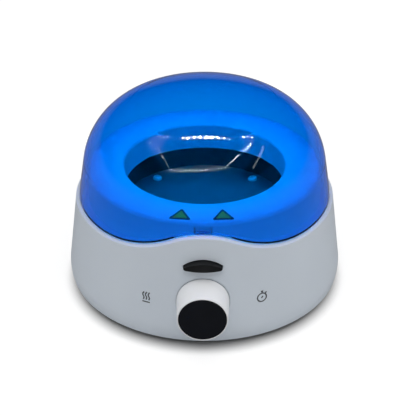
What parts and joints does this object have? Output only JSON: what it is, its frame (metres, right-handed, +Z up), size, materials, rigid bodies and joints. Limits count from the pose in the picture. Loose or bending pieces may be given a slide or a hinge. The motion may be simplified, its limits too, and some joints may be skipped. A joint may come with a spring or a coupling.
{
  "type": "dry bath incubator",
  "caption": "Round dry bath incubator with a translucent blue domed lid on a rear hinge, a white case with a wavy rim, a push button and a display knob.",
  "frame": {"origin": "middle of the footprint, on the table; the round case's upright axis stands 6 mm behind it", "axes": "+Z up, the front with the knob and the button faces -Y, +X to the right as seen from the front"},
  "size_m": [0.1746, 0.192, 0.126],
  "materials": {
    "aluminium": "anodised grey",
    "black_abs": "fine satin",
    "black_liner": "heat-resistant moulding",
    "black_window": "smoked window",
    "blue_polycarbonate": "clear blue, polished",
    "bright_screw": "bright pan head",
    "capacitor_sleeve": "shrink sleeve",
    "circuit_board": "solder mask",
    "connector_white": "nylon",
    "dark_cover": "textured moulding",
    "display": "dark module",
    "felt": "needle felt",
    "film": "polyimide film",
    "knob_white": "satin moulded",
    "rubber": "soft rubber",
    "spring_steel": "drawn wire",
    "steel": "zinc plated",
    "white_abs": "satin moulded"
  },
  "bodies": {
    "base": {"base_housing": "white_abs", "board_connector": "connector_white", "board_screws": "steel", "bottom_cover": "dark_cover", "buzzer": "black_abs", "capacitor": "capacitor_sleeve", "control_board": "circuit_board", "control_screws": "steel", "cover_screws": "steel", "cup_screws": "steel", "encoder": "black_abs", "heater_film": "film", "heater_plate": "aluminium", "hinge_pin": "steel", "insulation_pad": "felt", "latch_spring": "spring_steel", "main_board": "circuit_board", "plate_screws": "bright_screw", "power_jack": "black_abs", "power_transistor": "black_abs", "push_switch": "black_abs", "rubber_foot_1": "rubber", "rubber_foot_2": "rubber", "rubber_foot_3": "rubber", "rubber_foot_4": "rubber", "temperature_sensor": "steel", "thermal_cutout": "black_abs", "well_cup": "black_liner"},
    "lid": {"lid": "blue_polycarbonate"},
    "button": {"release_button": "black_abs", "latch_slider": "white_abs"},
    "knob_centre": {"display_carrier": "black_abs", "display_window": "black_window", "display_module": "display"},
    "knob": {"knob_ring": "knob_white"}
  },
  "joints": [
    {"name": "lid_hinge", "type": "hinge", "parent": "base", "child": "lid", "pos_m": [0, 0.092, 0.062], "axis": [-1, 0, 0], "range_deg": [0, 95]},
    {"name": "button_press", "type": "slide", "parent": "base", "child": "button", "axis": [0, 1, 0], "range_m": [0, 0.003], "stiffness_N_per_m": 500, "springref_m": -0.002, "deforming": ["latch_spring"]},
    {"name": "knob_push", "type": "slide", "parent": "base", "child": "knob_centre", "axis": [0, 1, 0], "range_m": [0, 0.0008], "stiffness_N_per_m": 1500, "springref_m": -0.001},
    {"name": "knob_turn", "type": "hinge", "parent": "knob_centre", "child": "knob", "pos_m": [0, -0.084, 0.0295], "axis": [0, -1, 0], "continuous": true}
  ]
}
